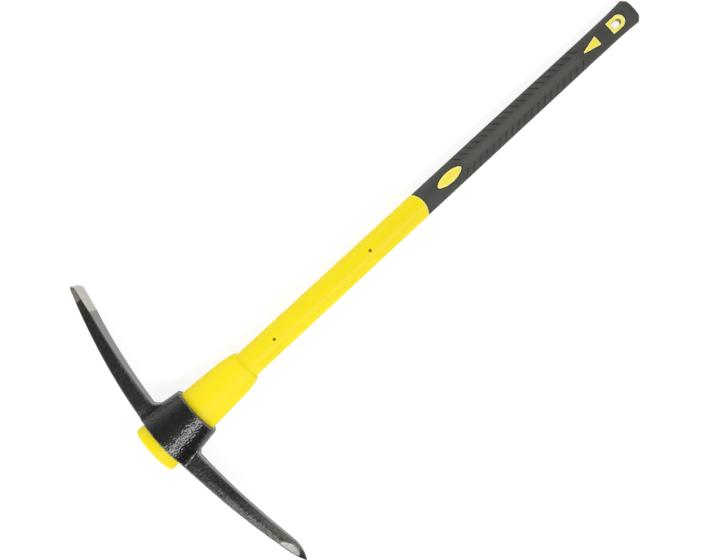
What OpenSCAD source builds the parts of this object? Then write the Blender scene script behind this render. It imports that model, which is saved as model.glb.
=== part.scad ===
// Pick with a flat chisel arm, a pointed arm and a moulded fibreglass handle, lying on its side.
// The head slips on over the grip and jams on the flared sleeve at the crown end.
// X runs along the handle from the crown end to the butt, Y towards the chisel arm and Z up.
// The origin is the middle of the crown's end face. Lengths are in millimetres.

/* [Handle] */
// Length of the handle, from the crown end to the butt
handle_len = 900; // [800:5:1000]
// Diameter of the fibreglass rod inside the handle
core_d = 20; // [16:0.5:24]
// Jacket wall beside the rod under the grip, in the plane of the head
seat_wall_w = 5.5; // [4:0.1:8]
// Jacket wall above and below the rod under the grip
seat_wall_t = 2.5; // [2:0.1:4]
// How far the shaft stands proud of the grip's front edge, on each side
grip_step = 0.5; // [0.2:0.1:1.5]
// How much each side of the shaft swells from the grip to the sleeve
shaft_swell = 1.05; // [0.5:0.05:2]
// Diameter of the holes left by the pins that held the rod in the mould
pin_hole_d = 4.2; // [3:0.1:6]
// Distance of the first pin hole from the crown end
pin_hole_near = 229; // [200:1:300]
// Distance of the second pin hole from the crown end
pin_hole_far = 408; // [330:1:450]

/* [Eye sleeve] */
// Length of the tapered part of the sleeve, from the crown end
sleeve_len = 152; // [120:1:180]
// Length of the shoulder that ends the sleeve
shoulder_len = 22.5; // [10:0.5:40]
// Wall of the sleeve's lip over the shaft, in the plane of the head
sleeve_lip_w = 3.75; // [2.5:0.05:5]
// Wall of the sleeve's lip above and below the shaft
sleeve_lip_t = 2.4; // [2:0.05:4]
// Radius of the lip's edge
lip_edge_r = 1.8; // [0.5:0.1:2]
// Rise of the shoulder on each side, in the plane of the head
shoulder_rise_w = 4.55; // [3:0.05:9]
// Rise of the shoulder above and below
shoulder_rise_t = 0.6; // [0.3:0.05:3]
// How much each side flares towards the crown, in the plane of the head
sleeve_flare_w = 8.2; // [4:0.1:12]
// How much the sleeve flares towards the crown, above and below
sleeve_flare_t = 3.25; // [1.5:0.05:6]
// Thickness of the closed crown end
sleeve_floor = 10; // [6:0.5:20]
// Radius of the crown's edge
crown_edge_r = 5; // [2:0.5:8]

/* [Grip] */
// Length of the grip, measured along its sides
grip_len = 400; // [300:5:450]
// Wall of the grip at its waist
grip_wall = 2.35; // [1.5:0.05:4]
// Extra wall at the grip's front edge
grip_front_swell = 0.75; // [0.2:0.05:1.5]
// Extra wall at the flared butt
butt_flare = 1.7; // [0.5:0.1:4]
// Length of the flare at the butt
butt_flare_len = 62; // [40:1:90]
// Chamfer round the butt's end
butt_chamfer = 6; // [3:0.5:8]
// Thickness of the closed butt
butt_wall = 4; // [2:0.5:8]
// How far the yellow shaft arches into the grip's front edge
grip_arch = 7.6; // [4:0.2:12]
// Length of the oval window
oval_len = 43.3; // [30:0.5:60]
// Width of the oval window
oval_w = 15.4; // [8:0.2:20]
// Middle of the oval window behind the grip's front edge
oval_back = 56; // [45:1:80]
// Length of the arrow window
arrow_len = 26.5; // [18:0.5:32]
// Width of the arrow window at its base
arrow_w = 14.4; // [8:0.2:18]
// Distance of the arrow's base from the butt
arrow_from_butt = 66.5; // [62:0.5:80]
// Radius of the arrow's corners
arrow_corner_r = 1.2; // [0.6:0.1:2]
// How far the windows' yellow pads stand proud of the grip
pad_rise = 0.6; // [0.2:0.1:1.5]

/* [Hang hole] */
// Length of the yellow ring round the hang hole, along the handle
ring_len = 25.2; // [22:0.2:30]
// Width of the ring
ring_w = 18.9; // [17:0.1:22]
// Wall of the ring
ring_wall = 4.9; // [3.5:0.1:5.5]
// Distance of the ring's arched end from the butt
ring_from_butt = 19.3; // [14:0.1:26]

/* [Head] */
// Distance of the head's crown face from the handle's crown end
head_seat = 18.5; // [8:0.5:30]
// Length of the eye along the handle
eye_len = 64.5; // [50:0.5:80]
// Wall of the eye at its rim, on the arms' sides
eye_rim_wall_w = 5.4; // [4:0.1:9]
// Wall of the eye's cheeks at the rim
eye_rim_wall_t = 8.8; // [6:0.1:12]
// Wall of the eye at the crown face, on the arms' sides
eye_crown_wall_w = 10.9; // [8:0.1:14]
// Wall of the eye's cheeks at the crown face
eye_crown_wall_t = 7.4; // [5:0.1:11]
// Bevel round the eye's two outer edges
eye_bevel = 1.5; // [0.5:0.1:3]

/* [Chisel arm] */
// Reach of the cutting edge from the handle's axis
chisel_reach = 243; // [200:1:280]
// How far the cutting edge lies towards the grip from the head's crown face
chisel_rise = 55.3; // [35:0.1:75]
// Depth of the arm at the eye, along the handle
chisel_root_d = 25.4; // [20:0.1:30]
// How far the chisel's outer side stands out past the crown face, at the eye
chisel_root_lap = 0.5; // [0.3:0.1:2]
// Width of the arm at the eye, across the plane of the head
chisel_root_w = 26; // [20:0.2:40]
// Width of the cutting edge
chisel_edge_w = 53; // [42:0.5:60]
// Radius of the cutting edge's corners
chisel_corner_r = 6; // [2:0.5:8]
// How far the bevel runs back from the cutting edge
chisel_bevel_back = 6.2; // [4:0.1:10]
// How far the bevel climbs from the cutting edge
chisel_bevel_rise = 3.7; // [2:0.1:6]
// Length of the ground face that runs back from the bevel on the handle side
chisel_grind_len = 37.4; // [25:0.2:50]
// How far the ground face falls towards the crown over its length
chisel_grind_fall = 7.4; // [4:0.1:10]
// Bow of the arm's outer side
chisel_outer_bow = 7; // [4:0.1:10]
// Bow of the arm's handle side, up to the ground face
chisel_inner_bow = 3.7; // [2:0.1:6]
// Size of the fillet between the arm and the eye
chisel_fillet = 10; // [4:0.5:14]

/* [Point arm] */
// Reach of the point from the handle's axis
point_reach = 254; // [210:1:290]
// How far the point lies towards the grip from the head's crown face
point_rise = 34.5; // [20:0.5:50]
// Depth of the arm at the eye, along the handle
point_root_d = 26.7; // [20:0.1:34]
// How far the point's outer side stands out past the crown face, at the eye
point_root_lap = 1.3; // [0.4:0.1:2]
// Width of the arm at the eye, across the plane of the head
point_root_w = 25; // [20:0.2:30]
// Width of the arm past its neck
point_neck_w = 20; // [15:0.2:24]
// Distance of the neck from the side of the eye's hole
point_neck_out = 40; // [20:1:60]
// Length of the nose that comes to the point
nose_len = 30; // [20:0.5:45]
// Depth of the arm where the nose starts
nose_d = 16.3; // [10:0.1:20]
// Width of the arm where the nose starts
nose_w = 19; // [14:0.1:22]
// How far the nose's outer side lies towards the grip from the crown face, where it starts
nose_rise = 25; // [15:0.1:40]
// Size of the blunt tip
point_tip = 2; // [1:0.1:3]
// Bow of the arm's outer side
point_outer_bow = 3.8; // [2:0.05:7]
// Bow of the arm's handle side
point_inner_bow = 3.3; // [1:0.05:5]
// Bow of the nose's handle side
nose_inner_bow = 2.2; // [0.5:0.1:3]
// Bow of the nose's outer side
nose_outer_bow = 1; // [0.3:0.1:2]
// Size of the fillet between the arm and the eye
point_fillet = 4.5; // [3:0.5:10]

/* [Fits] */
// Gap between the head's eye and the sleeve when the head is seated
seat_gap = 0.1; // [0.05:0.05:0.3]
// Gap between pieces that are moulded or bonded together
bond_gap = 0.05; // [0.02:0.01:0.1]

/* [Hidden] */
overrun = 5;
oval_sides = 40;
bow_steps = 14;
edge_steps = 5;
flare_steps = 6;
round_fn = 48;
// Exponent of the butt's flare along its length
flare_curve_share = 2.7;
// How far along the grip its front swell has run out, as a share of its length
front_swell_share = 0.78;
// How deep a fillet's hollow is, as a share of its size
fillet_hollow_share = 0.18;
// Gap between the end of the rod and the hang hole's ring, as a share of the ring's wall
core_stop_share = 1.6;

// Section of the jacket under the grip
seat_w = core_d + 2 * seat_wall_w;
seat_t = core_d + 2 * seat_wall_t;
// Sections of the grip at its waist and its front edge
waist_w = seat_w + 2 * grip_wall;
waist_t = seat_t + 2 * grip_wall;
front_w = waist_w + 2 * grip_front_swell;
front_t = waist_t + 2 * grip_front_swell;
// Sections of the shaft at the grip and at the sleeve
shaft_front_w = front_w + 2 * grip_step;
shaft_front_t = front_t + 2 * grip_step;
shaft_w = shaft_front_w + 2 * shaft_swell;
shaft_t = shaft_front_t + 2 * shaft_swell;
// Sections of the sleeve at its thin end, its shoulder and its crown
lip_w = shaft_w + 2 * sleeve_lip_w;
lip_t = shaft_t + 2 * sleeve_lip_t;
sleeve_w = lip_w + 2 * shoulder_rise_w;
sleeve_t = lip_t + 2 * shoulder_rise_t;
crown_w = sleeve_w + 2 * sleeve_flare_w;
crown_t = sleeve_t + 2 * sleeve_flare_t;
// Places along the handle
sleeve_end = sleeve_len + shoulder_len;
grip_x = handle_len - grip_len;
arch_r = pow(shaft_front_w / 2, 2) / (2 * grip_arch) + grip_arch / 2;
arch_x = grip_x + grip_arch - arch_r;
oval_x = grip_x + oval_back;
arrow_x = handle_len - arrow_from_butt;
ring_x = handle_len - ring_from_butt - ring_len;
core_end = ring_x - core_stop_share * ring_wall;
seat_end = handle_len - butt_wall;
// Places on the head
eye_rim = head_seat + eye_len;
eye_half_w = sleeve_width(head_seat) / 2;
chisel_fillet_y = eye_outer_w(head_seat + chisel_root_d) / 2;
point_fillet_y = eye_outer_w(head_seat + point_root_d) / 2;

// Width and thickness of the sleeve at a distance from the crown end
function sleeve_width(x) = crown_w - 2 * sleeve_flare_w * x / sleeve_len;
function sleeve_thick(x) = crown_t - 2 * sleeve_flare_t * x / sleeve_len;
// Width of the eye's outside at a distance from the crown end
function eye_outer_w(x) =
    let (
        crown = sleeve_width(head_seat) + 2 * eye_crown_wall_w,
        rim = sleeve_width(eye_rim) + 2 * eye_rim_wall_w
    )
    crown + (rim - crown) * (x - head_seat) / eye_len;
// Thickness of the eye's outside at a distance from the crown end
function eye_outer_t(x) =
    let (
        crown = sleeve_thick(head_seat) + 2 * eye_crown_wall_t,
        rim = sleeve_thick(eye_rim) + 2 * eye_rim_wall_t
    )
    crown + (rim - crown) * (x - head_seat) / eye_len;
// Section of the eye's outside, grown by an amount
function eye_ring(x, grow) = oval(x, eye_outer_w(x) + 2 * grow, eye_outer_t(x) + 2 * grow);
// Ring of points round an oval section that stands across the handle
function oval(x, w, t) = [
    for (i = [0:oval_sides - 1])
        let (a = 360 * i / oval_sides)
        [x, cos(a) * w / 2, sin(a) * t / 2]
];
// Points of a curve from p to q that stands off to its left by the bow
function bowed(p, q, bow) =
    let (d = q - p, left = [-d[1], d[0]] / norm(d))
    [for (i = [0:bow_steps]) let (u = i / bow_steps) p + d * u + left * bow * 4 * u * (1 - u)];
// Points of a quarter round corner about a middle point, from one angle
function corner(middle, r, from) = [
    for (i = [0:edge_steps])
        let (a = from + 90 * i / edge_steps)
        middle + r * [cos(a), sin(a)]
];
// Sections of the grip's outside, with its wall grown by an amount
function grip_rings(grow) = concat(
    [oval(grip_x, front_w + 2 * grow, front_t + 2 * grow)],
    [oval(grip_x + grip_len * front_swell_share, waist_w + 2 * grow, waist_t + 2 * grow)],
    [
        for (i = [0:flare_steps])
            let (
                u = i / flare_steps,
                wall = grow + butt_flare * pow(u, flare_curve_share)
            )
            oval(
                handle_len - butt_flare_len + u * (butt_flare_len - butt_chamfer),
                waist_w + 2 * wall,
                waist_t + 2 * wall
            )
    ],
    [oval(
        handle_len + grow,
        waist_w + 2 * (butt_flare - butt_chamfer),
        waist_t + 2 * (butt_flare - butt_chamfer)
    )]
);

// Solid skinned over a row of rings, in order along X
module loft(rings) {
    count = len(rings[0]);
    last = (len(rings) - 1) * count;
    sides = [
        for (i = [0:len(rings) - 2], j = [0:count - 1])
            let (a = i * count + j, b = i * count + (j + 1) % count)
            each [[a, a + count, b], [b, a + count, b + count]]
    ];
    crown_cap = [for (j = [0:count - 1]) j];
    butt_cap = [for (j = [count - 1:-1:0]) last + j];
    polyhedron([for (r = rings) each r], concat([crown_cap], [butt_cap], sides));
}
// Outline in the Y and Z plane, extruded along X
module along_x(from, to) {
    translate([from, 0, 0]) rotate([90, 0, 90]) linear_extrude(to - from) children();
}
// Outline in the X and Y plane, extruded above and below it
module across(t) {
    linear_extrude(t, center = true) children();
}
// Jacket's section under the grip, grown by an amount
module seat_loft(grow) {
    loft([
        oval(arch_x, seat_w + 2 * grow, seat_t + 2 * grow),
        oval(seat_end - bond_gap + grow, seat_w + 2 * grow, seat_t + 2 * grow)
    ]);
}
// Shaft from a distance to just past its arched end, grown by an amount
module shaft_loft(from, grow) {
    loft([
        oval(from, shaft_w + 2 * grow, shaft_t + 2 * grow),
        oval(sleeve_end, shaft_w + 2 * grow, shaft_t + 2 * grow),
        oval(grip_x + grip_arch + overrun, shaft_front_w + 2 * grow, shaft_front_t + 2 * grow)
    ]);
}

// Outlines of the windows in the grip, grown by an amount
module oval_outline(grow) {
    long = oval_len / 2 + grow;
    wide = oval_w / 2 + grow;
    turns = [for (i = [0:oval_sides - 1]) 360 * i / oval_sides];
    translate([oval_x, 0]) polygon([for (a = turns) [long * cos(a), wide * sin(a)]]);
}
module arrow_outline(grow) {
    r = arrow_corner_r;
    hull() {
        for (side = [-1, 1])
            translate([arrow_x - r, side * (arrow_w / 2 - r)]) circle(r + grow, $fn = round_fn);
        translate([arrow_x - arrow_len + r, 0]) circle(r + grow, $fn = round_fn);
    }
}
module arched_outline(x, length, width) {
    r = width / 2;
    translate([x, -r]) square([length - r, width]);
    translate([x + length - r, 0]) circle(r, $fn = round_fn);
}
module ring_outline(grow) {
    arched_outline(ring_x - grow, ring_len + 2 * grow, ring_w + 2 * grow);
}
module hang_hole_outline() {
    arched_outline(ring_x + ring_wall, ring_len - 2 * ring_wall, ring_w - 2 * ring_wall);
}
module windows(grow) {
    across(2 * shaft_w) {
        oval_outline(grow);
        arrow_outline(grow);
        ring_outline(grow);
    }
}
// What lies past the arched end of the yellow shaft, moved towards the butt by an amount
module past_arch(shift) {
    difference() {
        translate([arch_x, -shaft_w, -shaft_w]) cube([handle_len, 2 * shaft_w, 2 * shaft_w]);
        cylinder_at(arch_x, arch_r + shift, 2 * shaft_w + overrun);
    }
}
// Upright cylinder on the handle's axis
module cylinder_at(x, r, t) {
    translate([x, 0, 0]) cylinder(h = t, r = r, center = true, $fn = round_fn);
}
// Rod along the handle's axis
module rod(from, to, d) {
    translate([from, 0, 0]) rotate([0, 90, 0]) cylinder(h = to - from, d = d, $fn = round_fn);
}

// Arms of the head, each as its side outline cut to its outline from the grip's end
module chisel_arm() {
    outer_root = [head_seat - chisel_root_lap, eye_half_w];
    outer_edge = [head_seat + chisel_rise, chisel_reach];
    inner_edge = outer_edge + [chisel_bevel_rise, -chisel_bevel_back];
    grind_start = inner_edge - [chisel_grind_fall, chisel_grind_len];
    inner_root = outer_root + [chisel_root_d, 0];
    arm_x = inner_root[0];
    r = chisel_corner_r;
    edge_half = chisel_edge_w / 2;
    intersection() {
        across(chisel_edge_w) {
            polygon(concat(
                bowed(outer_root, outer_edge, chisel_outer_bow),
                [inner_edge],
                bowed(grind_start, inner_root, -chisel_inner_bow)
            ));
            polygon(concat(
                [[arm_x, eye_half_w]],
                bowed(
                    [arm_x, chisel_fillet_y + chisel_fillet],
                    [arm_x + chisel_fillet, eye_outer_w(arm_x + chisel_fillet) / 2],
                    -chisel_fillet * fillet_hollow_share
                ),
                [[arm_x + chisel_fillet, eye_half_w]]
            ));
        }
        along_x(head_seat - overrun, eye_rim + chisel_rise) polygon(concat(
            [[eye_half_w, -chisel_root_w / 2]],
            corner([chisel_reach - r, r - edge_half], r, -90),
            corner([chisel_reach - r, edge_half - r], r, 0),
            [[eye_half_w, chisel_root_w / 2]]
        ));
    }
}
module point_arm() {
    outer_root = [head_seat - point_root_lap, -eye_half_w];
    outer_nose = [head_seat + nose_rise, nose_len - point_reach];
    outer_tip = [head_seat + point_rise - point_tip / 2, -point_reach];
    inner_tip = outer_tip + [point_tip, 0];
    inner_nose = outer_nose + [nose_d, 0];
    inner_root = outer_root + [point_root_d, 0];
    arm_x = inner_root[0];
    neck_y = -eye_half_w - point_neck_out;
    intersection() {
        across(point_root_w) {
            polygon(concat(
                bowed(outer_root, outer_nose, -point_outer_bow),
                bowed(outer_nose, outer_tip, -nose_outer_bow),
                bowed(inner_tip, inner_nose, -nose_inner_bow),
                bowed(inner_nose, inner_root, point_inner_bow)
            ));
            polygon(concat(
                [[arm_x, -eye_half_w]],
                bowed(
                    [arm_x, -point_fillet_y - point_fillet],
                    [arm_x + point_fillet, -eye_outer_w(arm_x + point_fillet) / 2],
                    point_fillet * fillet_hollow_share
                ),
                [[arm_x + point_fillet, -eye_half_w]]
            ));
        }
        along_x(head_seat - overrun, eye_rim + point_rise) polygon([
            [-eye_half_w, point_root_w / 2],
            [neck_y, point_neck_w / 2],
            [outer_nose[1], nose_w / 2],
            [-point_reach, point_tip / 2],
            [-point_reach, -point_tip / 2],
            [outer_nose[1], -nose_w / 2],
            [neck_y, -point_neck_w / 2],
            [-eye_half_w, -point_root_w / 2]
        ]);
    }
}
// The whole forging, with the tapered oval hole that fits the sleeve
module pick_head() {
    color([0.13, 0.13, 0.12]) difference() {
        union() {
            loft([
                eye_ring(head_seat, -eye_bevel),
                eye_ring(head_seat + eye_bevel, 0),
                eye_ring(eye_rim - eye_bevel, 0),
                eye_ring(eye_rim, -eye_bevel)
            ]);
            chisel_arm();
            point_arm();
        }
        loft([
            oval(crown_edge_r, sleeve_width(crown_edge_r) + 2 * seat_gap,
                sleeve_thick(crown_edge_r) + 2 * seat_gap),
            oval(sleeve_len, sleeve_w + 2 * seat_gap, sleeve_t + 2 * seat_gap)
        ]);
    }
}
// Flared sleeve at the crown end, closed over the shaft's end
module eye_sleeve() {
    color([0.98, 0.88, 0.12]) difference() {
        loft(concat(
            [
                for (i = [0:edge_steps - 1])
                    let (a = 90 * i / edge_steps, in = crown_edge_r * (1 - sin(a)))
                    oval(crown_edge_r * (1 - cos(a)), crown_w - 2 * in, crown_t - 2 * in)
            ],
            [
                oval(crown_edge_r, sleeve_width(crown_edge_r), sleeve_thick(crown_edge_r)),
                oval(sleeve_len, sleeve_w, sleeve_t)
            ],
            [
                for (i = [0:edge_steps])
                    let (a = 90 * i / edge_steps, in = lip_edge_r * (1 - cos(a)))
                    oval(sleeve_end - lip_edge_r * (1 - sin(a)), lip_w - 2 * in, lip_t - 2 * in)
            ]
        ));
        shaft_loft(sleeve_floor, bond_gap);
    }
}
// Moulded shaft round the rod, with its pads under the grip and the hang hole's ring
module handle_jacket() {
    color([0.99, 0.9, 0.16]) difference() {
        union() {
            difference() {
                shaft_loft(sleeve_floor + bond_gap, 0);
                past_arch(0);
            }
            seat_loft(0);
            intersection() {
                windows(0);
                loft(grip_rings(pad_rise));
            }
        }
        rod(sleeve_floor, core_end + bond_gap, core_d + 2 * bond_gap);
        for (x = [pin_hole_near, pin_hole_far]) cylinder_at(x, pin_hole_d / 2, 2 * shaft_t);
        across(2 * shaft_w) hang_hole_outline();
    }
}
// Pultruded rod inside the jacket
module fibreglass_core() {
    color([0.6, 0.52, 0.2]) rod(sleeve_floor + bond_gap, core_end, core_d);
}
// Soft grip over the jacket, closed at the butt
module grip() {
    color([0.33, 0.33, 0.31]) difference() {
        loft(grip_rings(0));
        seat_loft(bond_gap);
        difference() {
            translate([0, -shaft_w, -shaft_w])
                cube([grip_x + grip_arch + bond_gap, 2 * shaft_w, 2 * shaft_w]);
            past_arch(bond_gap);
        }
        windows(bond_gap);
    }
}

pick_head();
eye_sleeve();
handle_jacket();
fibreglass_core();
grip();
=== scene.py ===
import math

import bpy
import numpy as np
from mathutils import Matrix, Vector


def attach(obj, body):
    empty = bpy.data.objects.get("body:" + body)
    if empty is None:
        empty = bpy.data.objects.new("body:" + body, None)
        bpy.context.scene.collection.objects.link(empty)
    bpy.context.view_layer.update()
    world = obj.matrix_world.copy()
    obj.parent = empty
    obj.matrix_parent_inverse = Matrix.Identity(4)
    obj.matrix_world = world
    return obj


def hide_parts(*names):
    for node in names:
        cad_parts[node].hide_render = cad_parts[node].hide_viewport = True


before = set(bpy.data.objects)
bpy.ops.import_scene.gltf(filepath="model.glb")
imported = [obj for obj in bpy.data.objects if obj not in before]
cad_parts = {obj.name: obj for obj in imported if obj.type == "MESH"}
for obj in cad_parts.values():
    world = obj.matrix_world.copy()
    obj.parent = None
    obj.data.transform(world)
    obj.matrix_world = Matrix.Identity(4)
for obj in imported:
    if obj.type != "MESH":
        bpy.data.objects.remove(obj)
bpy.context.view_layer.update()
scene = bpy.context.scene
mm = 0.001  # shapes below are in millimetres, meshes in metres
print("frame in:", ", ".join(sorted(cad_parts)))


# shape helpers

def putIn(name, data):
    thing = bpy.data.objects.new(name, data)
    scene.collection.objects.link(thing)
    return thing


def makePiece(name, points, faces):
    mesh = bpy.data.meshes.new(name)
    mesh.from_pydata((np.asarray(points) * mm).tolist(), [], faces)
    mesh.update()
    return putIn(name, mesh)


def settle(piece):
    # plain mesh out of the evaluated piece, modifiers gone
    graph = bpy.context.evaluated_depsgraph_get()
    mesh = bpy.data.meshes.new_from_object(piece.evaluated_get(graph), depsgraph=graph)
    spent = piece.data
    piece.modifiers.clear()
    piece.data = mesh
    mesh.name = piece.name
    bpy.data.meshes.remove(spent)


def carve(piece, tools, operation):
    for tool in tools:
        step = piece.modifiers.new("carve", "BOOLEAN")
        step.operation = operation
        step.solver = "EXACT"
        step.object = tool
        settle(piece)
        bpy.data.meshes.remove(tool.data)  # and the tool with it


def meshPoints(piece):
    flat = np.empty(len(piece.data.vertices) * 3, np.float32)
    piece.data.vertices.foreach_get("co", flat)
    return flat.reshape(-1, 3).astype(float) / mm


def putAttribute(piece, name, values):
    layer = piece.data.attributes.new(name, "FLOAT", "POINT")
    layer.data.foreach_set("value", np.asarray(values, np.float32))


def dress(piece, material):
    piece.data.materials.clear()
    piece.data.materials.append(material)


def smoothFaces(piece, angle):
    piece.data.shade_smooth()
    piece.data.set_sharp_from_angle(angle=math.radians(angle))


def ovalRing(x, halfW, halfT, sides):
    turn = np.arange(sides) * 2 * math.pi / sides
    y, z = halfW * np.cos(turn), halfT * np.sin(turn)
    place = x(y) if callable(x) else np.full(sides, float(x))
    return np.stack([place, y, z], axis=1)


def bothHalves(half, x, inset=0.0):
    return [half(x, axis) - inset for axis in (0, 1)]


def quarterTurn(edge, turns):
    # steps round an eased edge: what is gone along it, and what is left across
    return [(edge * (1 - math.cos(a)), edge * (1 - math.sin(a))) for a in np.radians(turns)]


def skinRings(name, rings):
    sides = len(rings[0])
    faces = []
    for i in range(len(rings) - 1):
        for j in range(sides):
            a, b = i * sides + j, i * sides + (j + 1) % sides
            faces.append((a, b, b + sides, a + sides))
    last = (len(rings) - 1) * sides
    faces += [tuple(reversed(range(sides))), tuple(range(last, last + sides))]
    return makePiece(name, np.vstack(rings), faces)


def softMin(a, b, reach):
    h = np.clip(0.5 + 0.5 * (b - a) / reach, 0, 1)
    return b + (a - b) * h - reach * h * (1 - h)


def smoothStep(low, high, v):
    u = np.clip((v - low) / (high - low), 0, 1)
    return u * u * (3 - 2 * u)


def between(first, last, share):
    return first + (last - first) * share


# node helpers, for shader and geometry trees alike

def feed(tree, inputs, values):
    # links and constants for inputs, by label or by number
    for key, value in values.items():
        if isinstance(value, bpy.types.NodeSocket):
            tree.links.new(value, inputs[key])
        else:
            inputs[key].default_value = value


def add(tree, kind, values, **settings):
    node = tree.nodes.new(kind)
    for key, value in settings.items():
        setattr(node, key, value)
    feed(tree, node.inputs, values)
    return node


def calc(tree, operation, *values):
    return add(tree, "ShaderNodeMath", dict(enumerate(values)), operation=operation).outputs[0]


def product(tree, first, *others):
    for other in others:
        first = calc(tree, "MULTIPLY", first, other)
    return first


def ramp(tree, value, low, high, toLow=0.0, toHigh=1.0):
    span = {"Value": value, "From Min": low, "From Max": high, "To Min": toLow, "To Max": toHigh}
    return add(tree, "ShaderNodeMapRange", span, interpolation_type="SMOOTHSTEP").outputs["Result"]


def blendValue(tree, amount, first, second, kind="FLOAT"):
    return add(tree, "ShaderNodeMix", {"Factor": amount, "A": first, "B": second}, data_type=kind).outputs["Result"]


def blendColour(tree, amount, first, second):
    return blendValue(tree, amount, first, second, "RGBA")


def noise(tree, vector, scale, detail):
    return add(tree, "ShaderNodeTexNoise", {"Vector": vector, "Scale": scale, "Detail": detail}).outputs["Fac"]


def stretched(tree, vector, scale):
    return add(tree, "ShaderNodeMapping", {"Vector": vector, "Scale": scale}).outputs["Vector"]


def axesOf(tree, vector):
    return add(tree, "ShaderNodeSeparateXYZ", {"Vector": vector}).outputs


def newGroup(name, values, outputs):
    # every group takes a vector, and a plain number for each of its values
    group = bpy.data.node_groups.new(name, "ShaderNodeTree")
    group.interface.new_socket("Vector", in_out="INPUT", socket_type="NodeSocketVector")
    for label, value in values.items():
        group.interface.new_socket(label, in_out="INPUT", socket_type="NodeSocketFloat").default_value = value
    for label in outputs:
        group.interface.new_socket(label, in_out="OUTPUT", socket_type="NodeSocketFloat")
    return group, group.nodes.new("NodeGroupInput").outputs, group.nodes.new("NodeGroupOutput").inputs


def place(tree, group, **values):
    return add(tree, "ShaderNodeGroup", values, node_tree=group).outputs


# shared surface effects

def buildMouldGrain():
    # fine moulded grain and a slow drift of tone
    group, given, made = newGroup("mouldGrain", {"Grain": 1800.0, "Drift": 14.0}, ("Height", "Tone"))
    fine = noise(group, given["Vector"], given["Grain"], 2.0)
    slow = noise(group, given["Vector"], given["Drift"], 3.0)
    feed(group, made, {"Height": fine, "Tone": ramp(group, slow, 0.3, 0.7)})
    return group


def buildForgeSkin():
    # lumps of a forged and dipped surface
    group, given, made = newGroup("forgeSkin", {"Lump": 420.0, "Pit": 1300.0}, ("Height", "Tone"))
    lumps = noise(group, given["Vector"], given["Lump"], 0.0)
    pits = noise(group, given["Vector"], given["Pit"], 1.0)
    height = calc(group, "MULTIPLY_ADD", pits, 0.06, lumps)
    feed(group, made, {"Height": height, "Tone": ramp(group, lumps, 0.35, 0.68)})
    return group


def buildRubbedEdgeAndGlint():
    # where handling has rubbed an edge, and a painted glint along a crease, broken up by noise
    group, given, made = newGroup("rubbedEdgeAndGlint", {"Edge": 0.0, "Patch": 300.0, "Reach": 0.5}, ("Mask",))
    patches = noise(group, given["Vector"], given["Patch"], 3.0)
    worn = product(group, ramp(group, patches, 0.42, 0.62), given["Edge"])
    feed(group, made, {"Mask": ramp(group, worn, 0.15, given["Reach"])})
    return group


mouldGrain, forgeSkin, rubbedEdgeAndGlint = buildMouldGrain(), buildForgeSkin(), buildRubbedEdgeAndGlint()


def newMaterial(name):
    material = bpy.data.materials.new(name)
    material.use_nodes = True
    tree = material.node_tree
    return material, tree, tree.nodes["Principled BSDF"]


def whereOn(tree, space="Object"):
    return tree.nodes.new("ShaderNodeTexCoord").outputs[space]


def bump(tree, shader, height, depth, strength):
    node = add(tree, "ShaderNodeBump", {"Strength": strength, "Distance": depth * mm, "Height": height})
    feed(tree, shader.inputs, {"Normal": node.outputs["Normal"]})


def attribute(tree, name):
    return add(tree, "ShaderNodeAttribute", {}, attribute_name=name).outputs["Fac"]


# finishes

paintLook = {
    "black": (0.0085, 0.0085, 0.0075, 1),
    "scuffed": (0.019, 0.019, 0.0165, 1),
    # grey of rubbed edges, and of the painted glint along the crease at the point's root
    "rubbed": (0.36, 0.35, 0.31, 1),
    "steel": (0.80, 0.78, 0.735, 1),
    "steelShade": (0.60, 0.58, 0.535, 1),
    # painted reflection and shade, dulling ground steel to olive
    "dulledAndShaded": (0.36, 0.345, 0.28, 1),
    # grey of the painted sheen and the wear on the point's flanks
    "worn": (0.135, 0.132, 0.116, 1),
    "gloss": 0.22, "armGloss": 0.25, "wearAndSheenRough": 0.46, "steelRough": 0.42, "lacquer": 0.84,
    "barrelLump": 395.0, "barrelPit": 1300.0, "barrelDepth": 0.44,
    "armLump": 385.0, "armPit": 1000.0, "armStretch": (0.5, 1.25, 0.8),  # forging marks run across the arms
    "chiselDepth": 0.23, "pointDepth": 0.44,  # their depth against those on the eye
    "scratch": 560.0, "scratchStretch": (0.4, 1.0, 0.6),
    "edgePatch": 760.0, "edgeReach": 0.45, "edgeShare": 0.6,
    "ragged": 900.0, "raggedDepth": 1.2,  # unevenness of the paint line at the ground steel
    "grind": (900.0, 130.0, 900.0), "grindDepth": 0.08,
    "barrelSide": 0.040, "armBlend": 0.012,  # where the arms begin, from the handle's axis
}


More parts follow.
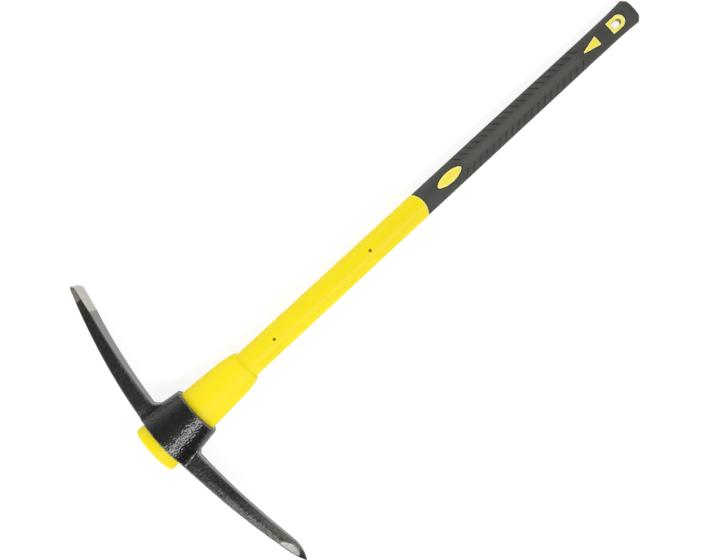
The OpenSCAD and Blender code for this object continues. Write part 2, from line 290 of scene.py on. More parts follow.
def buildForgedPaint(look):
    material, tree, shader = newMaterial("forgedPaint")
    where = whereOn(tree)
    side, armStart = axesOf(tree, where)["Y"], look["barrelSide"]
    onArm = ramp(tree, calc(tree, "ABSOLUTE", side), armStart, armStart + look["armBlend"])
    barrelSkin = place(tree, forgeSkin, Vector=where, Lump=look["barrelLump"], Pit=look["barrelPit"])
    across = stretched(tree, where, look["armStretch"])
    armSkin = place(tree, forgeSkin, Vector=across, Lump=look["armLump"], Pit=look["armPit"])
    # rubbed edges, and a painted glint along the crease at the point's root
    rubbed = place(
        tree, rubbedEdgeAndGlint, Edge=attribute(tree, "edge"), Vector=where, Patch=look["edgePatch"], Reach=look["edgeReach"],
    )["Mask"]
    # bare ground steel, with a slightly ragged paint line
    uneven = noise(tree, where, look["ragged"], 2.0)
    bare = ramp(tree, calc(tree, "MULTIPLY_ADD", uneven, look["raggedDepth"], attribute(tree, "bare")), 0.25, 0.95)
    streaks = noise(tree, stretched(tree, where, look["grind"]), 1.0, 3.0)
    paint = blendColour(tree, product(tree, armSkin["Tone"], onArm), look["black"], look["scuffed"])
    # painted sheen and wear, even in places and broken into strokes in others
    scratches = noise(tree, stretched(tree, where, look["scratchStretch"]), look["scratch"], 1.0)
    even, broken = ramp(tree, scratches, 0.3, 0.7, 0.45, 0.75), ramp(tree, scratches, 0.40, 0.60, 0.05, 1.35)
    wearAndSheen = product(tree, attribute(tree, "wearAndSheen"), blendValue(tree, attribute(tree, "strokes"), even, broken))
    paint = blendColour(tree, wearAndSheen, paint, look["worn"])
    paint = blendColour(tree, product(tree, rubbed, look["edgeShare"]), paint, look["rubbed"])
    steel = blendColour(tree, ramp(tree, streaks, 0.35, 0.65), look["steelShade"], look["steel"])
    # the ground steel dulled to olive, a painted reflection and shade, most on the blade's sides
    steel = blendColour(tree, attribute(tree, "steelDullingAndShade"), steel, look["dulledAndShaded"])
    gloss = blendValue(tree, wearAndSheen, blendValue(tree, onArm, look["gloss"], look["armGloss"]), look["wearAndSheenRough"])
    feed(tree, shader.inputs, {
        "Base Color": blendColour(tree, bare, paint, steel), "Metallic": bare,
        "Roughness": blendValue(tree, bare, gloss, look["steelRough"]), "Specular IOR Level": look["lacquer"],
    })
    armDepth = ramp(tree, side, -armStart, armStart, look["pointDepth"], look["chiselDepth"])
    relief = blendValue(tree, onArm, barrelSkin["Height"], product(tree, armSkin["Height"], armDepth))
    relief = blendValue(tree, bare, relief, product(tree, streaks, look["grindDepth"]))
    bump(tree, shader, relief, look["barrelDepth"], 1.0)
    return material


def addGrain(look, tree, shader, where):
    grain = place(tree, mouldGrain, Vector=where, Grain=look["grain"], Drift=look["drift"])
    rough = calc(tree, "MULTIPLY_ADD", grain["Tone"], look["roughDrift"], look["rough"])
    feed(tree, shader.inputs, {"Roughness": rough, "Specular IOR Level": look["sheen"]})
    bump(tree, shader, grain["Height"], look["grainDepth"], look["grainShare"])
    return grain["Tone"]


yellowLook = {
    "deep": (0.88, 0.718, 0.002, 1),
    "fresh": (0.92, 0.758, 0.004, 1),
    # pale tone of the pads, and of the painted highlights and light on the yellow
    "paleAndLit": (0.94, 0.85, 0.26, 1),
    "rough": 0.46, "roughDrift": 0.08, "sheen": 0.30,
    "grain": 1500.0, "grainDepth": 0.05, "grainShare": 0.35, "drift": 11.0,
}


def buildYellowPlastic(look):
    material, tree, shader = newMaterial("yellowPlastic")
    body = blendColour(tree, addGrain(look, tree, shader, whereOn(tree)), look["deep"], look["fresh"])
    # paler pads, painted highlights at their rims and along the arch, painted light in the hang hole
    feed(tree, shader.inputs, {"Base Color": blendColour(tree, attribute(tree, "rim"), body, look["paleAndLit"])})
    return material


rubberLook = {
    "dark": (0.053, 0.053, 0.047, 1),
    "worn": (0.069, 0.069, 0.061, 1),
    # paler grey of the painted highlight along the top strip
    "stripHighlight": (0.087, 0.087, 0.079, 1),
    # dark of the painted shade and dirt in the grooves
    "groove": (0.031, 0.031, 0.027, 1),
    "rough": 0.55, "roughDrift": 0.14, "sheen": 0.30,
    "grain": 2300.0, "grainDepth": 0.12, "grainShare": 0.6, "drift": 55.0,
}


def buildGripRubber(look):
    material, tree, shader = newMaterial("gripRubber")
    body = blendColour(tree, addGrain(look, tree, shader, whereOn(tree)), look["dark"], look["worn"])
    # painted highlight along the top strip
    body = blendColour(tree, attribute(tree, "stripHighlight"), body, look["stripHighlight"])
    # painted shade and dirt in the grooves and round the pads
    feed(tree, shader.inputs, {"Base Color": blendColour(tree, attribute(tree, "groove"), body, look["groove"])})
    return material


rodLook = {
    # the rod shows only at the bottom of the pin holes; its colours are partly its own and partly painted light against
    # the shade down there
    "resin": (0.48, 0.35, 0.030, 1),
    "fibre": (0.62, 0.48, 0.07, 1),
    "rough": 0.5, "roughDrift": 0.15, "sheen": 0.5,
    "grain": 2600.0, "grainDepth": 0.08, "grainShare": 0.5, "drift": 900.0, "fibreStretch": (0.03, 1.0, 1.0),
}


def buildGlassRod(look):
    material, tree, shader = newMaterial("glassRod")
    tone = addGrain(look, tree, shader, stretched(tree, whereOn(tree), look["fibreStretch"]))
    feed(tree, shader.inputs, {"Base Color": blendColour(tree, tone, look["resin"], look["fibre"])})
    return material


forgedPaint = buildForgedPaint(paintLook)
yellowPlastic = buildYellowPlastic(yellowLook)
gripRubber = buildGripRubber(rubberLook)
glassRod = buildGlassRod(rodLook)
print("finishes ready")


# eye sleeve: flared oval, closed at the crown, with a soft shoulder and a lip that slopes to the shaft

sleeve = {
    "length": 152.0, "shoulder": 22.5, "floor": 10.0,
    "crownHalf": (36.65, 23.4), "shoulderHalf": (28.45, 20.15), "lipHalf": (23.9, 19.55), "boreHalf": (20.2, 17.2),
    "crownEdge": 5.0, "softness": (1.6, 0.16),
    "lipFall": (2.0, 3.6),  # half length of the slope from the lip down to the shaft
    "bite": 0.04,  # how far the lip's foot stands off the bore
    "sides": 128, "rings": 58, "edgeRings": 9, "lipRings": 24,
}
sleeveEnd = sleeve["length"] + sleeve["shoulder"]


def flareHalf(x, axis):
    return between(sleeve["crownHalf"][axis], sleeve["shoulderHalf"][axis], x / sleeve["length"])


def sleeveHalf(x, axis):
    past = (x - sleeve["length"]) / sleeve["shoulder"]
    fall = between(sleeve["shoulderHalf"][axis], sleeve["lipHalf"][axis], past)
    return float(softMin(flareHalf(x, axis), fall, sleeve["softness"][axis]))


def lipHalf(x, axis):
    # a short slope, longer above and below than at the sides
    reach = sleeve["lipFall"][axis]
    share = float(smoothStep(sleeveEnd - reach, sleeveEnd + reach, x))
    return between(sleeveHalf(min(x, sleeveEnd), axis), sleeve["boreHalf"][axis] + sleeve["bite"], share)


def buildSleeve():
    edge, sides = sleeve["crownEdge"], sleeve["sides"]
    lipFrom, lipTo = sleeveEnd - sleeve["lipFall"][1], sleeveEnd + sleeve["lipFall"][1]
    rings = []
    for x, inset in quarterTurn(edge, np.linspace(0, 90, sleeve["edgeRings"])):
        rings.append(ovalRing(x, *bothHalves(sleeveHalf, x, inset), sides))
    body = np.linspace(edge, lipFrom, sleeve["rings"])[1:-1]
    for x in np.concatenate([body, np.linspace(lipFrom, lipTo, sleeve["lipRings"])]):
        rings.append(ovalRing(x, *bothHalves(lipHalf, x), sides))
    for x in (lipTo, sleeve["floor"]):
        rings.append(ovalRing(x, *sleeve["boreHalf"], sides))
    piece = skinRings("eye_sleeve_moulding", rings)
    smoothFaces(piece, 40)
    return piece


eyeSleeve = buildSleeve()
dress(eyeSleeve, yellowPlastic)
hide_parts("eye_sleeve")
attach(eyeSleeve, "handle")
print("eye sleeve:", len(eyeSleeve.data.polygons), "faces")


# grip sections, which the pads of the jacket follow too

grip = {
    "start": 500.0, "end": 900.0, "archRise": 7.6, "gap": 0.05,
    "frontHalf": (18.6, 15.6), "waistHalf": (17.85, 14.85), "waistAt": 812.0,
    "flare": 1.7, "flareLength": 62.0, "flareCurve": 2.7,
    "chamfer": 6.0, "chamferEdge": 1.1, "frontEdge": 0.5,
    "seatHalf": (15.55, 12.55), "seatEnd": 896.0,
    "bend": 560.0,  # up to here the rings lean with the arch
    "sides": 160, "step": 1.5, "fineStep": 0.68,  # ring spacing, finer where the grooves are
}


def gripHalf(x, axis):
    share = np.clip((x - grip["start"]) / (grip["waistAt"] - grip["start"]), 0, 1)
    half = between(grip["frontHalf"][axis], grip["waistHalf"][axis], share)
    run = np.clip((x - grip["end"] + grip["flareLength"]) / (grip["flareLength"] - grip["chamfer"]), 0, 1)
    return half + grip["flare"] * run ** grip["flareCurve"]


def gripTop(x, y):
    return gripHalf(x, 1) * np.sqrt(np.clip(1 - (y / gripHalf(x, 0)) ** 2, 0.01, 1))


# handle jacket: tapered shaft with an arched end, its seat under the grip, and the pads in the grip's windows

jacket = {
    "start": 10.05, "taperEnd": 512.6, "shaftHalf": (20.15, 17.15), "frontHalf": (19.1, 16.1), "archEdge": 0.45,
    "bend": 440.0,  # past this the rings lean over towards the arch
    "seatHalf": (15.5, 12.5), "seatEnd": 895.95,
    "rodRadius": 10.05, "rodEnd": 847.7,
    "pinRadius": 2.1, "pinsAt": (229.0, 408.0), "pinMouth": 0.5,
    "padRise": 0.6, "padEdge": 0.7, "padFoot": 6.0,
    # pad paleness, and the reach and strength of the painted highlights at their rims and along the arch
    "padPale": 0.35, "rimReach": 1.0, "archHighlight": 0.9, "archReach": 1.2,
    "overrun": 4.0,  # how far cutters go past the skin
    "sides": 128, "rodSides": 96, "pinSides": 24,
    "rings": 70, "bendRings": 18, "lastBend": 0.976, "seatFrom": 530.0, "seatRings": 60,
}
windows = {
    "ovalAt": 556.0, "ovalHalf": (21.65, 7.7), "ovalDraw": 1.25,
    "arrowBase": 833.5, "arrowLength": 26.5, "arrowHalf": 7.2, "arrowCorner": 1.2,
    "ringAt": 855.5, "ringLength": 25.2, "ringHalf": 9.45, "ringCorner": 1.0,
    "holeWall": 4.9, "holeCorner": 0.6, "holeFoot": 2.0,
    "grooveWidth": 0.9, "grooveDepth": 0.9, "fit": 0.12, "foot": 4.0,
    "spacing": 0.7, "ovalSpacing": 0.9,  # of the points along the outlines
}
archRadius = jacket["frontHalf"][0] ** 2 / (2 * grip["archRise"]) + grip["archRise"] / 2
archMiddle = grip["start"] + grip["archRise"] - archRadius


def archLine(shift):
    return lambda y: archMiddle + np.sqrt((archRadius + shift) ** 2 - y ** 2)


def shaftHalf(x, axis):
    share = np.clip((x - sleeveEnd) / (jacket["taperEnd"] - sleeveEnd), 0, 1)
    return between(jacket["shaftHalf"][axis], jacket["frontHalf"][axis], share)


def arc(x, y, radius, first, last, count):
    turn = np.radians(np.linspace(first, last, count))
    return np.stack([x + radius * np.cos(turn), y + radius * np.sin(turn)], axis=1)


def evenly(points, spacing):
    # outline with points at an even spacing
    closed = np.vstack([points, points[:1]])
    run = np.concatenate([[0], np.cumsum(np.linalg.norm(np.diff(closed, axis=0), axis=1))])
    at = np.linspace(0, run[-1], int(run[-1] / spacing), endpoint=False)
    return np.stack([np.interp(at, run, closed[:, i]) for i in (0, 1)], axis=1)


def ovalOutline():
    # an oval drawn out a little at its ends
    turn = np.linspace(0, 2 * math.pi, 720, endpoint=False)
    long, wide = windows["ovalHalf"]
    across = np.sign(np.sin(turn)) * np.abs(np.sin(turn)) ** windows["ovalDraw"]
    return evenly(np.stack([windows["ovalAt"] + long * np.cos(turn), wide * across], axis=1), windows["ovalSpacing"])


def arrowOutline():
    r = windows["arrowCorner"]
    base, tip = windows["arrowBase"] - r, windows["arrowBase"] - windows["arrowLength"] + r
    half = windows["arrowHalf"] - r
    lean = math.degrees(math.atan2(base - tip, half))
    return evenly(np.vstack([
        arc(base, -half, r, lean - 180, 0, 10),
        arc(base, half, r, 0, 180 - lean, 10),
        arc(tip, 0, r, 180 - lean, 180 + lean, 12),
    ]), windows["spacing"])


def ringOutline(wall, corner):
    # square towards the head, round towards the butt
    x, length, half = windows["ringAt"] + wall, windows["ringLength"] - 2 * wall, windows["ringHalf"] - wall
    return evenly(np.vstack([
        arc(x + length - half, 0, half, -90, 90, 60),
        arc(x + corner, half - corner, corner, 90, 180, 8),
        arc(x + corner, corner - half, corner, 180, 270, 8),
    ]), windows["spacing"])


padOutlines = (ovalOutline(), arrowOutline(), ringOutline(0.0, windows["ringCorner"]))
holeOutline = ringOutline(windows["holeWall"], windows["holeCorner"])


def grown(outline, amount):
    ahead, behind = np.roll(outline, -1, axis=0), np.roll(outline, 1, axis=0)
    along = ahead - behind
    out = np.stack([along[:, 1], -along[:, 0]], axis=1)
    return outline + amount * out / np.linalg.norm(out, axis=1)[:, None]


def raised(outline, lift):
    return np.column_stack([outline, gripTop(outline[:, 0], outline[:, 1]) + lift])


def awayFrom(outline, points):
    # distance from an outline, seen from above
    return np.hypot(points[:, :1] - outline[:, 0], points[:, 1:2] - outline[:, 1]).min(axis=1)


def level(outline, z):
    return np.column_stack([outline, np.full(len(outline), float(z))])


def bothFaces(rings):
    # the rings, and the same rings half a turn about the handle's axis
    return rings, [ring * (1, -1, -1) for ring in rings]


def bothWays(upper):
    # rings of a cutter that runs right through, the same on both faces
    return [ring * (1, 1, -1) for ring in reversed(upper)] + upper


def padRings(outline):
    rise, edge = jacket["padRise"], jacket["padEdge"]
    middle = outline.mean(axis=0)
    rings = [level(outline, jacket["padFoot"]), raised(outline, rise - edge)]
    for inset, drop in quarterTurn(edge, (30, 60, 90)):
        rings.append(raised(grown(outline, -inset), rise - drop))
    for share in (0.75, 0.5, 0.25, 0.04):
        rings.append(raised(between(middle, grown(outline, -edge), share), rise))
    return rings


def windowRings(outline):
    # cutter for a window in both faces of the grip, flared so that a groove runs round the pad
    wide, deep = windows["grooveWidth"], windows["grooveDepth"]
    snug = grown(outline, windows["fit"])
    sides = [level(snug, windows["foot"]), raised(snug, -deep)]
    steps = ((wide * 0.55, -deep * 0.75), (wide, 0.05), (wide * 1.3, jacket["overrun"]))
    return bothWays(sides + [raised(grown(outline, w), z) for w, z in steps])


def holeRings():
    # cutter for the hang hole, flared at its mouths
    lift = jacket["padRise"]
    sides = [level(holeOutline, windows["holeFoot"]), raised(holeOutline, lift - 0.9)]
    steps = ((0.35, lift - 0.3), (0.95, lift + 0.05), (1.4, jacket["overrun"]))
    return bothWays(sides + [raised(grown(holeOutline, w), z) for w, z in steps])


def buildJacket():
    sides, bend, edge = jacket["sides"], jacket["bend"], jacket["archEdge"]
    arch = archLine(0.0)
    shaft = np.append(jacket["start"], np.linspace(sleeveEnd, bend, jacket["rings"]))
    rings = [ovalRing(x, *bothHalves(shaftHalf, x), sides) for x in shaft]
    for share in np.append(np.linspace(0, 1, jacket["bendRings"])[1:-1], (jacket["lastBend"], 1.0)):
        near = bothHalves(shaftHalf, between(bend, grip["start"], share))
        rings.append(ovalRing(lambda y: between(bend, arch(y) - edge, share), *near, sides))
    for inset, back in quarterTurn(edge, (30, 60, 90)):
        rings.append(ovalRing(lambda y: arch(y) - back, *bothHalves(shaftHalf, grip["start"], inset), sides))
    seat = np.linspace(jacket["seatFrom"], jacket["seatEnd"], jacket["seatRings"])
    rings += [ovalRing(x, *jacket["seatHalf"], sides) for x in (arch, *seat)]
    piece = skinRings("handle_jacket_moulding", rings)
    pads = [skinRings("pad", rings) for outline in padOutlines for rings in bothFaces(padRings(outline))]
    carve(piece, pads, "UNION")
    bore = (jacket["rodRadius"], jacket["rodRadius"], jacket["rodSides"])
    tools = [skinRings("rod", [ovalRing(x, *bore) for x in (jacket["start"] - 1, jacket["rodEnd"])])]
    for at in jacket["pinsAt"]:
        circle = arc(at, 0, jacket["pinRadius"], 0, 360 - 360 / jacket["pinSides"], jacket["pinSides"])
        mouth, top = grown(circle, jacket["pinMouth"]), shaftHalf(at, 1)
        flared = [level(mouth, top + 0.1), level(mouth, top + jacket["overrun"])]
        tools.append(skinRings("pin", bothWays([level(circle, top - jacket["pinMouth"])] + flared)))
    tools.append(skinRings("hole", holeRings()))
    carve(piece, tools, "DIFFERENCE")
    smoothFaces(piece, 40)
    putAttribute(piece, "rim", padPaleAndHighlight(meshPoints(piece)))
    return piece


def padPaleAndHighlight(points):
    # pads a little paler than the shaft, with a painted highlight at their rims
    x, y, z = points.T
    proud = np.where(x > grip["start"] + 12, np.abs(z) - gripTop(x, y), -9.0)
    paleAndLit = np.where(proud > -0.6, jacket["padPale"], 0.0)
    # the hang hole's wall is painted pale all the way through, painted light in the hole's shade
    for outline, deep in [(pad, 0.5) for pad in padOutlines] + [(grown(holeOutline, 0.4), 12.0)]:
        paleAndLit = np.where((awayFrom(outline, points) < jacket["rimReach"]) & (proud > -deep), 1.0, paleAndLit)
    # and a painted highlight runs along the arched end of the shaft
    atArch = np.abs(archLine(0.0)(np.clip(y, -19.0, 19.0)) - x) < jacket["archReach"]
    onShaft = np.hypot(y / jacket["frontHalf"][0], z / jacket["frontHalf"][1]) > 0.9
    return np.where(atArch & onShaft, jacket["archHighlight"], paleAndLit)


handleJacket = buildJacket()
dress(handleJacket, yellowPlastic)
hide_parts("handle_jacket")
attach(handleJacket, "handle")
print("handle jacket:", len(handleJacket.data.polygons), "faces")


# grip: soft sleeve with windows, and slanted grooves on its flanks made by a node tree

grooves = {
    "lengths": {  # as the tree labels them; half of the strip along the top and of the plain band along each side
        "Pitch": 12.0, "Width": 3.6, "Depth": 1.15, "Recess": 0.3, "First": 586.0, "Last": 814.0,
        "Strip": 6.6, "Strip Edge": 1.1, "Band": 5.0, "Band Edge": 1.8,
    },
    "slant": 1.05,
    "skin": 0.8,  # what lies this far outside the seat is the outer skin
    # reaches of the painted shade and dirt round the pads, and of the painted highlight along the top strip
    "dirtAndShade": (0.8, 1.9), "rubbed": (1.5, 8.5),
}


def buildGrip():
    sides, edge, bend = grip["sides"], grip["frontEdge"], grip["bend"]
    front = archLine(grip["gap"])
    rings = [ovalRing(x, *grip["seatHalf"], sides) for x in (grip["seatEnd"], front)]
    for back, inset in quarterTurn(edge, (0, 30, 60, 90)):
        rings.append(ovalRing(lambda y: front(y) + back, *bothHalves(gripHalf, grip["start"], inset), sides))
    for share in np.linspace(0, 1, int((bend - grip["start"]) / grip["step"]))[1:]:
        near = bothHalves(gripHalf, between(grip["start"], bend, share))
        rings.append(ovalRing(lambda y: between(front(y) + edge, bend, share), *near, sides))
    shoulder, soft = grip["end"] - grip["chamfer"], grip["chamferEdge"]
    fine = np.arange(bend, grooves["lengths"]["Last"], grip["fineStep"])
    plain = np.arange(fine[-1], shoulder - soft, grip["step"])
    for x in np.concatenate([fine[1:], plain[1:]]):
        rings.append(ovalRing(x, *bothHalves(gripHalf, x), sides))
    # chamfered end with both its edges eased, as places along the handle and insets there
    low, high = np.array([shoulder, 0.0]), np.array([grip["end"], grip["chamfer"]])
    slant = soft * np.array([0.7, 0.7])
    for first, corner, last in ((low - (soft, 0.0), low, low + slant), (high - slant, high, high + (0.0, soft))):
        for u in np.linspace(0, 1, 7):
            x, inset = (1 - u) ** 2 * first + 2 * u * (1 - u) * corner + u ** 2 * last
            rings.append(ovalRing(x, *bothHalves(gripHalf, shoulder, inset), sides))
    piece = skinRings("grip_moulding", rings)
    carve(piece, [skinRings("window", windowRings(outline)) for outline in padOutlines], "DIFFERENCE")
    return piece


def buildGrooveTree(sizes):
    tree = bpy.data.node_groups.new("flankGrooves", "GeometryNodeTree")
    tree.interface.new_socket("Geometry", in_out="INPUT", socket_type="NodeSocketGeometry")
    for label in sizes:
        tree.interface.new_socket(label, in_out="INPUT", socket_type="NodeSocketFloat")
    tree.interface.new_socket("Rubber", in_out="INPUT", socket_type="NodeSocketMaterial")
    tree.interface.new_socket("Geometry", in_out="OUTPUT", socket_type="NodeSocketGeometry")
    given = tree.nodes.new("NodeGroupInput").outputs
    made = tree.nodes.new("NodeGroupOutput").inputs
    x, y, z = axesOf(tree, tree.nodes.new("GeometryNodeInputPosition").outputs[0])
    off, up = calc(tree, "ABSOLUTE", y), calc(tree, "ABSOLUTE", z)
    # only the outer skin moves, and only between the smooth strip and the band along the side
    shares = [calc(tree, "DIVIDE", way, given["Skin Half " + side]) for way, side in ((y, "W"), (z, "T"))]
    skin = calc(tree, "GREATER_THAN", calc(tree, "ADD", *[calc(tree, "POWER", share, 2.0) for share in shares]), 1.0)
    flank = product(tree, *[
        ramp(tree, way, given[label], calc(tree, "ADD", given[label], given[label + " Edge"]))
        for way, label in ((off, "Strip"), (up, "Band"))
    ])
    lane = calc(tree, "MULTIPLY_ADD", off, given["Slant"], x)
    span = calc(tree, "SUBTRACT", lane, given["First"])
    phase = calc(tree, "FRACT", calc(tree, "DIVIDE", span, given["Pitch"]))
    fromMiddle = product(tree, calc(tree, "ABSOLUTE", calc(tree, "SUBTRACT", phase, 0.5)), given["Pitch"])
    groove = ramp(tree, fromMiddle, 0.0, product(tree, given["Width"], 0.5), 1.0, 0.0)
    inRow = [calc(tree, "GREATER_THAN", lane, given["First"]), calc(tree, "LESS_THAN", lane, given["Last"])]
    easeIn = ramp(tree, lane, given["First"], calc(tree, "ADD", given["First"], given["Pitch"]))
    easeOut = ramp(tree, lane, calc(tree, "SUBTRACT", given["Last"], given["Pitch"]), given["Last"], 1.0, 0.0)
    cut = product(tree, groove, *inRow, flank)
    sunk = product(tree, easeIn, easeOut, flank, given["Recess"])
    sink = product(tree, calc(tree, "MULTIPLY_ADD", cut, given["Depth"], sunk), -1.0)
    normal = tree.nodes.new("GeometryNodeInputNormal").outputs[0]
    push = add(tree, "ShaderNodeVectorMath", {0: normal, "Scale": sink}, operation="SCALE").outputs[0]
    move = add(tree, "GeometryNodeSetPosition", {"Geometry": given["Geometry"], "Selection": skin, "Offset": push})
    # how deep in a groove each point lies, for the rubber to darken there, painted shade and dirt
    depths = {"Geometry": move.outputs[0], "Selection": skin, "Name": "groove", "Value": cut}
    mark = add(tree, "GeometryNodeStoreNamedAttribute", depths)
    real = add(tree, "GeometryNodeRealizeInstances", {"Geometry": mark.outputs[0]})
    coat = add(tree, "GeometryNodeSetMaterial", {"Geometry": real.outputs[0], "Material": given["Rubber"]})
    feed(tree, made, {"Geometry": coat.outputs[0]})
    return tree


def cutGrooves(piece):
    sizes = {label: length * mm for label, length in grooves["lengths"].items()}
    sizes["Slant"] = grooves["slant"]
    for side, half in zip("WT", grip["seatHalf"]):
        sizes["Skin Half " + side] = (half + grooves["skin"]) * mm
    tree = buildGrooveTree(sizes)
    step = piece.modifiers.new("flankGrooves", "NODES")
    step.node_group = tree
    sizes["Rubber"] = gripRubber
    for item in tree.interface.items_tree:
        if item.in_out == "INPUT" and item.name in sizes:
            step[item.identifier] = sizes[item.name]
    settle(piece)


def paintGrooveShadeAndStripLight(piece):
    # painted shade and dirt: the groove round each pad is darkened
    points = meshPoints(piece)
    layer = piece.data.attributes["groove"]
    values = np.empty(len(points), np.float32)
    layer.data.foreach_get("value", values)
    for outline in padOutlines:
        values = np.maximum(values, 1 - smoothStep(*grooves["dirtAndShade"], awayFrom(outline, points)))
    layer.data.foreach_set("value", values.astype(np.float32))
    # painted highlight: the strip along the top, between the grooves, is painted paler
    x, y, _ = points.T
    first, last = grooves["lengths"]["First"], grooves["lengths"]["Last"]
    inRow = smoothStep(first - 20, first + 10, x) * (1 - smoothStep(last - 30, last, x))
    putAttribute(piece, "stripHighlight", inRow * (1 - smoothStep(*grooves["rubbed"], np.abs(y))))


handGrip = buildGrip()
cutGrooves(handGrip)
paintGrooveShadeAndStripLight(handGrip)
dress(handGrip, gripRubber)
smoothFaces(handGrip, 42)
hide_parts("grip")
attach(handGrip, "handle")
print("grip:", len(handGrip.data.polygons), "faces")


# pick head: one forging, modelled as a distance field and skinned

head = {
    "crownFace": 18.5, "rimFace": 83.0, "crownHalf": 46.55, "rimHalf": 37.57, "halfThick": 30.42,
    "holeGap": 0.1, "eyeEdge": 2.2, "holeEdge": 0.8,
    "weld": 2.6,  # fillet where the arms leave the eye
    "armFrom": 22.0,  # the arms begin inside the eye, this far from the axis
    "low": (15.0, -257.0, -33.0), "high": (88.0, 246.0, 33.0), "cell": 1.05,
    "rubbedAt": (-254, -120, -50, 45, 60, 115, 140, 243), "rubbed": (0.2, 0.3, 0.9, 0.9, 1.0, 1.0, 0.35, 0.2),
    "creaseGlintAt": (-60, -56, -40, -36), "creaseGlintSide": 42.0,
    "lumps": 0.085, "pointLumps": 0.075, "chiselLumps": 0.025,  # hammered skin under the paint
    "waves": 28, "waveLength": (2.6, 4.2), "armWaves": (0.5, 1.2, 0.8), "armLumpsFrom": (38.0, 50.0),
}
chisel = {
    "outerRoot": (18.0, 35.65), "outerEdge": (73.8, 243.0), "outerBow": 7.0,
    "innerRoot": (43.4, 35.65), "grindStart": (70.1, 199.4), "innerEdge": (77.5, 236.8), "innerBow": -3.7,
    "rootHalf": 13.0, "edgeHalf": 26.5, "reach": 243.0, "corner": 6.0,
    "fillet": 10.0, "filletFrom": 51.5, "filletTo": 41.5,
    "roundAt": (160.0, 204.0, 236.0), "round": (3.6, 2.3, 0.5), "bladeRound": 0.35,
    "innerPaintLine": 199.0, "sidePaintLine": 219.5, "outerPaintLine": 222.5,
    "darkEdge": 2.0, "darkEdgeEnd": 239.5,
}
point = {
    "outerRoot": (17.2, -35.65), "outerNose": (43.5, -224.0), "outerTip": (52.0, -254.0),
    "innerRoot": (43.9, -35.65), "innerNose": (59.8, -224.0), "innerTip": (54.0, -254.0),
    "outerBow": -3.8, "outerNoseBow": -1.0, "innerBow": 3.3, "innerNoseBow": -2.2,
    "halfAt": (0.0, 35.0, 75.0, 110.0, 150.0, 224.0, 236.0, 254.0),
    "half": (12.5, 12.4, 10.2, 10.0, 9.9, 9.5, 7.0, 1.0),
    "crownFrom": 50.0, "crownTo": 110.0, "crown": 1.5, "ridge": 0.45, "ridgeSoft": 0.05,
    "fillet": 4.5, "filletFrom": 48.0, "filletTo": 43.0,
    "reach": 254.0, "flankSlope": 0.97, "edgeRound": 2.2, "facetRound": 0.4, "tipRound": 0.6,
    "facetFrom": (40.6, -210.1, 9.0), "facetLean": 16.0, "facetAcross": (-0.767, -0.642), "darkTip": 243.5,
    # how much painted sheen and wear the point's flanks get along the arm
    "wearAndSheenAt": (45.0, 60.0, 90.0, 120.0, 150.0, 185.0), "wearAndSheen": (0.02, 0.12, 0.25, 0.38, 0.58, 0.92),
}


def roundMax(a, b, r):
    # meeting of two solids, with a rounded edge
    return np.minimum(np.maximum(a, b), -r) + np.hypot(np.maximum(a + r, 0), np.maximum(b + r, 0))


def roundMin(a, b, r):
    # two solids together, with a fillet between them
    return np.maximum(np.minimum(a, b), r) - np.hypot(np.maximum(r - a, 0), np.maximum(r - b, 0))


def ovalField(y, z, halfW, halfT):
    k0 = np.sqrt((y / halfW) ** 2 + (z / halfT) ** 2) + 1e-6
    k1 = np.sqrt((y / halfW ** 2) ** 2 + (z / halfT ** 2) ** 2) + 1e-9
    return k0 * (k0 - 1) / k1


def leftOf(along):
    return np.array([-along[1], along[0]]) / np.linalg.norm(along)


def pastLine(x, y, start, across):
    return (x - start[0]) * across[0] + (y - start[1]) * across[1]


def bowed(start, end, bow, count=160):
    along = np.array(end) - start
    u = np.linspace(0, 1, count)[:, None]
    return start + along * u + leftOf(along) * bow * 4 * u * (1 - u)


def sideCurve(*runs):
    # place along the handle, and steepness, at a distance from the handle's axis
    points = np.vstack(runs)
    points[:, 1] = np.abs(points[:, 1])
    points = points[np.argsort(points[:, 1], kind="stable")]
    points = points[np.concatenate([[True], np.diff(points[:, 1]) > 1e-6])]
    slope = np.gradient(points[:, 0], points[:, 1])
    return lambda v: (np.interp(v, points[:, 1], points[:, 0]), 1 / np.sqrt(1 + np.interp(v, points[:, 1], slope) ** 2))


chiselOuter = sideCurve(bowed(chisel["outerRoot"], chisel["outerEdge"], chisel["outerBow"]))
chiselInner = sideCurve([chisel["innerEdge"]], bowed(chisel["grindStart"], chisel["innerRoot"], chisel["innerBow"]))
pointOuter = sideCurve(
    bowed(point["outerRoot"], point["outerNose"], point["outerBow"]),
    bowed(point["outerNose"], point["outerTip"], point["outerNoseBow"]),
)
pointInner = sideCurve(
    bowed(point["innerTip"], point["innerNose"], point["innerNoseBow"]),
    bowed(point["innerNose"], point["innerRoot"], point["innerBow"]),
)


def armFaces(x, v, arm, outerSide, innerSide):
    # outer and inner face of an arm, the inner one with a fillet at its root
    (outer, outerSlope), (inner, innerSlope) = outerSide(v), innerSide(v)
    u = np.clip((arm["filletFrom"] - v) / (arm["filletFrom"] - arm["filletTo"]), 0, 1)
    inner = inner + arm["fillet"] * (0.25 * u + 0.75 * u * u)
    return np.maximum((outer - x) * outerSlope, (x - inner) * innerSlope)


def towardsCrown(x, v):
    # 1 on the point arm's outer side, -1 on its inner side
    (outer, _), (inner, _) = pointOuter(v), pointInner(v)
    return ((outer + inner) / 2 - x) / np.maximum((inner - outer) / 2, 0.5)


def eyeField(x, y, z):
    share = (x - head["crownFace"]) / (head["rimFace"] - head["crownFace"])
    oval = ovalField(y, z, between(head["crownHalf"], head["rimHalf"], share), head["halfThick"])
    slab = np.maximum(head["crownFace"] - x, x - head["rimFace"])
    return roundMax(oval, slab, head["eyeEdge"])


def holeField(x, y, z):
    return ovalField(y, z, *bothHalves(flareHalf, x, -head["holeGap"]))


